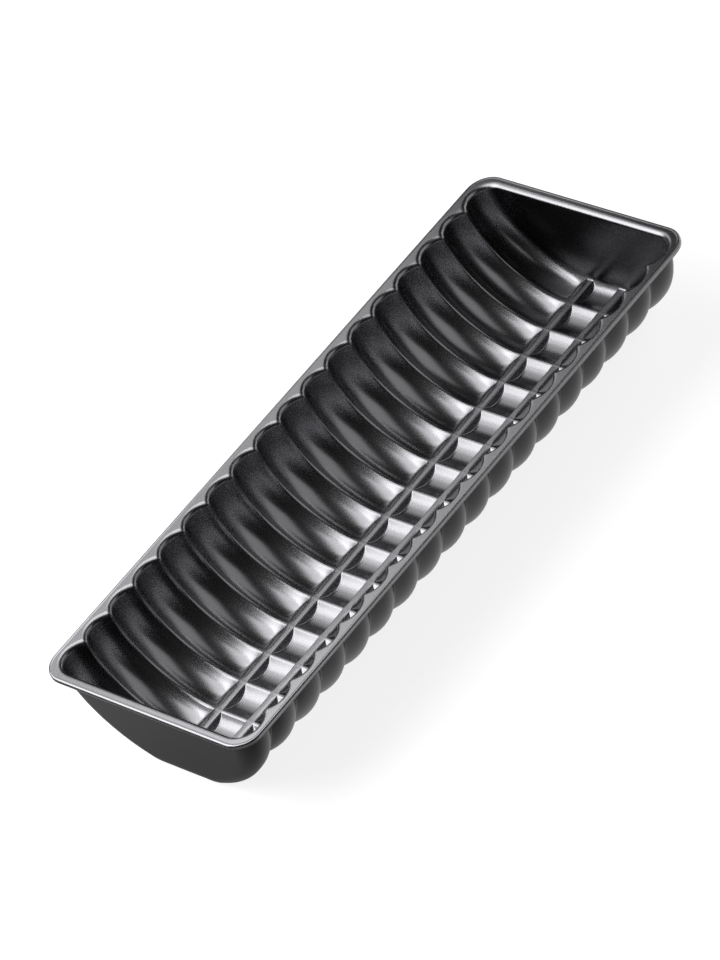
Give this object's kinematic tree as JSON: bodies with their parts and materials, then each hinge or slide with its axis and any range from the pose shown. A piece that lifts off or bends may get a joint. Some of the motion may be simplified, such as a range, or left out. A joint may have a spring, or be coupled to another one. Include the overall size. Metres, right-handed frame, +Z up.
{
  "type": "ridged loaf pan",
  "caption": "Long half-round loaf pan pressed from sheet steel, fluted across, with two low ridges along its floor and a flat rim.",
  "frame": {"origin": "under the middle of the pan, on the surface that it stands on", "axes": "+X along the pan, +Y across it, +Z up out of its mouth"},
  "size_m": [0.3, 0.115, 0.0455],
  "materials": {
    "nonstick_coating": "satin black non-stick coating with a fine metallic grain"
  },
  "bodies": {
    "root": {"pan_body": "nonstick_coating"}
  },
  "joints": []
}
